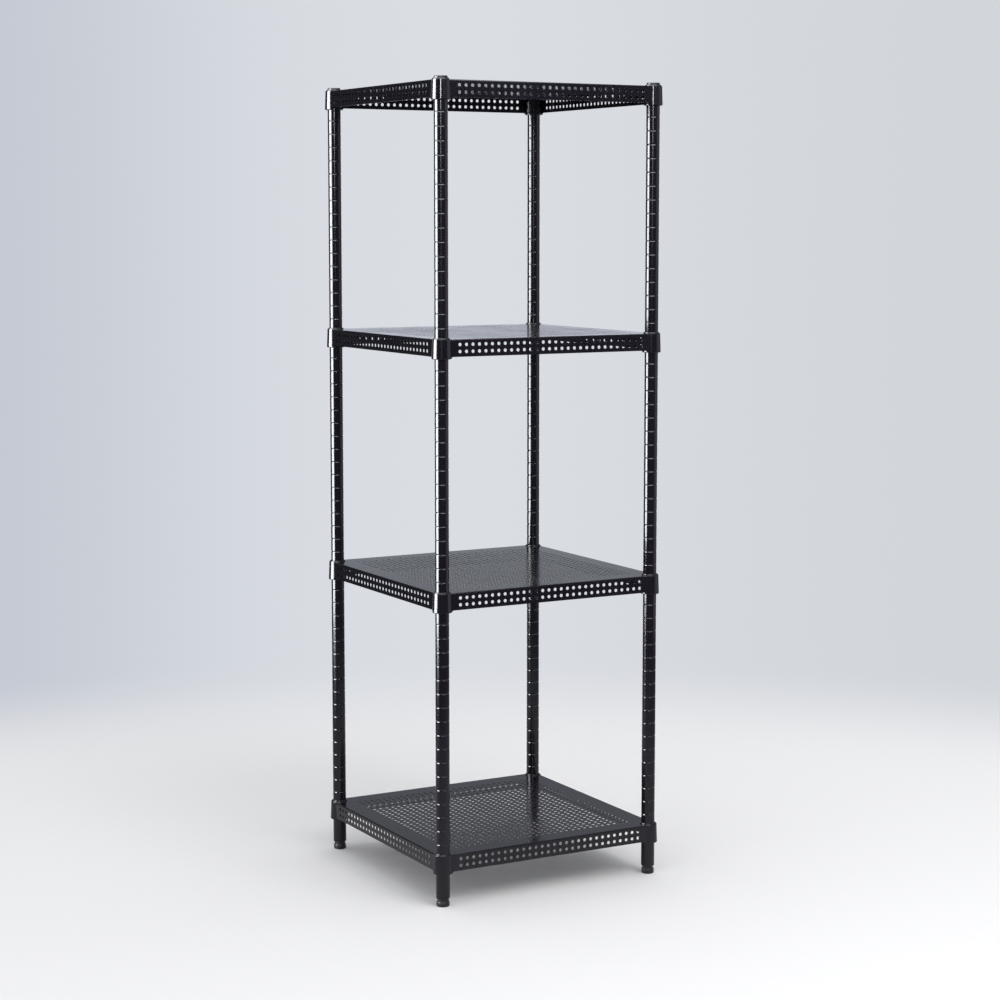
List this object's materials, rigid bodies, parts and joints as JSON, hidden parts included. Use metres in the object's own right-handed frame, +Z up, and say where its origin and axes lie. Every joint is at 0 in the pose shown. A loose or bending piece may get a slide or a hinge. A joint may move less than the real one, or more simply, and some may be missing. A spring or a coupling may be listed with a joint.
{
  "type": "boltless steel shelving",
  "caption": "Free-standing square tiered rack: grooved round steel posts, split wedge sleeves, perforated shelf pans with corner collars, post caps and levelling feet.",
  "frame": {"origin": "on the floor at the middle of the plan", "axes": "+Z up along the posts, -Y towards the front, +X to the right seen from the front"},
  "size_m": [0.4798, 0.4798, 1.5],
  "materials": {
    "black_steel": "satin black powder coat on mild steel",
    "black_plastic": "moulded black plastic with a fine texture",
    "sleeve_plastic": "smooth satin black moulded plastic",
    "plated_steel": "dull zinc-plated steel"
  },
  "bodies": {
    "posts": {"post_front_left": "black_steel", "post_cap_front_left": "black_plastic", "foot_insert_front_left": "plated_steel", "post_front_right": "black_steel", "post_cap_front_right": "black_plastic", "foot_insert_front_right": "plated_steel", "post_back_right": "black_steel", "post_cap_back_right": "black_plastic", "foot_insert_back_right": "plated_steel", "post_back_left": "black_steel", "post_cap_back_left": "black_plastic", "foot_insert_back_left": "plated_steel", "sleeve_bottom_front_left": "sleeve_plastic", "sleeve_bottom_front_right": "sleeve_plastic", "sleeve_bottom_back_right": "sleeve_plastic", "sleeve_bottom_back_left": "sleeve_plastic", "sleeve_lower_front_left": "sleeve_plastic", "sleeve_lower_front_right": "sleeve_plastic", "sleeve_lower_back_right": "sleeve_plastic", "sleeve_lower_back_left": "sleeve_plastic", "sleeve_upper_front_left": "sleeve_plastic", "sleeve_upper_front_right": "sleeve_plastic", "sleeve_upper_back_right": "sleeve_plastic", "sleeve_upper_back_left": "sleeve_plastic", "sleeve_top_front_left": "sleeve_plastic", "sleeve_top_front_right": "sleeve_plastic", "sleeve_top_back_right": "sleeve_plastic", "sleeve_top_back_left": "sleeve_plastic"},
    "shelf_bottom": {"shelf_bottom_pan": "black_steel", "shelf_bottom_collar_front_left": "black_steel", "shelf_bottom_collar_front_right": "black_steel", "shelf_bottom_collar_back_right": "black_steel", "shelf_bottom_collar_back_left": "black_steel"},
    "shelf_lower": {"shelf_lower_pan": "black_steel", "shelf_lower_collar_front_left": "black_steel", "shelf_lower_collar_front_right": "black_steel", "shelf_lower_collar_back_right": "black_steel", "shelf_lower_collar_back_left": "black_steel"},
    "shelf_upper": {"shelf_upper_pan": "black_steel", "shelf_upper_collar_front_left": "black_steel", "shelf_upper_collar_front_right": "black_steel", "shelf_upper_collar_back_right": "black_steel", "shelf_upper_collar_back_left": "black_steel"},
    "shelf_top": {"shelf_top_pan": "black_steel", "shelf_top_collar_front_left": "black_steel", "shelf_top_collar_front_right": "black_steel", "shelf_top_collar_back_right": "black_steel", "shelf_top_collar_back_left": "black_steel"},
    "foot_front_left": {"foot_stud_front_left": "plated_steel", "foot_pad_front_left": "black_plastic"},
    "foot_front_right": {"foot_stud_front_right": "plated_steel", "foot_pad_front_right": "black_plastic"},
    "foot_back_right": {"foot_stud_back_right": "plated_steel", "foot_pad_back_right": "black_plastic"},
    "foot_back_left": {"foot_stud_back_left": "plated_steel", "foot_pad_back_left": "black_plastic"}
  },
  "joints": [
    {"name": "shelf_bottom_lift", "type": "slide", "parent": "posts", "child": "shelf_bottom", "axis": [0, 0, 1], "range_m": [0, 0.0508]},
    {"name": "shelf_lower_lift", "type": "slide", "parent": "posts", "child": "shelf_lower", "axis": [0, 0, 1], "range_m": [0, 0.0508]},
    {"name": "shelf_upper_lift", "type": "slide", "parent": "posts", "child": "shelf_upper", "axis": [0, 0, 1], "range_m": [0, 0.0508]},
    {"name": "shelf_top_lift", "type": "slide", "parent": "posts", "child": "shelf_top", "axis": [0, 0, 1], "range_m": [0, 0.0508]},
    {"name": "foot_front_left_screw", "type": "slide", "parent": "posts", "child": "foot_front_left", "axis": [0, 0, -1], "range_m": [0, 0.012]},
    {"name": "foot_front_right_screw", "type": "slide", "parent": "posts", "child": "foot_front_right", "axis": [0, 0, -1], "range_m": [0, 0.012]},
    {"name": "foot_back_right_screw", "type": "slide", "parent": "posts", "child": "foot_back_right", "axis": [0, 0, -1], "range_m": [0, 0.012]},
    {"name": "foot_back_left_screw", "type": "slide", "parent": "posts", "child": "foot_back_left", "axis": [0, 0, -1], "range_m": [0, 0.012]}
  ]
}
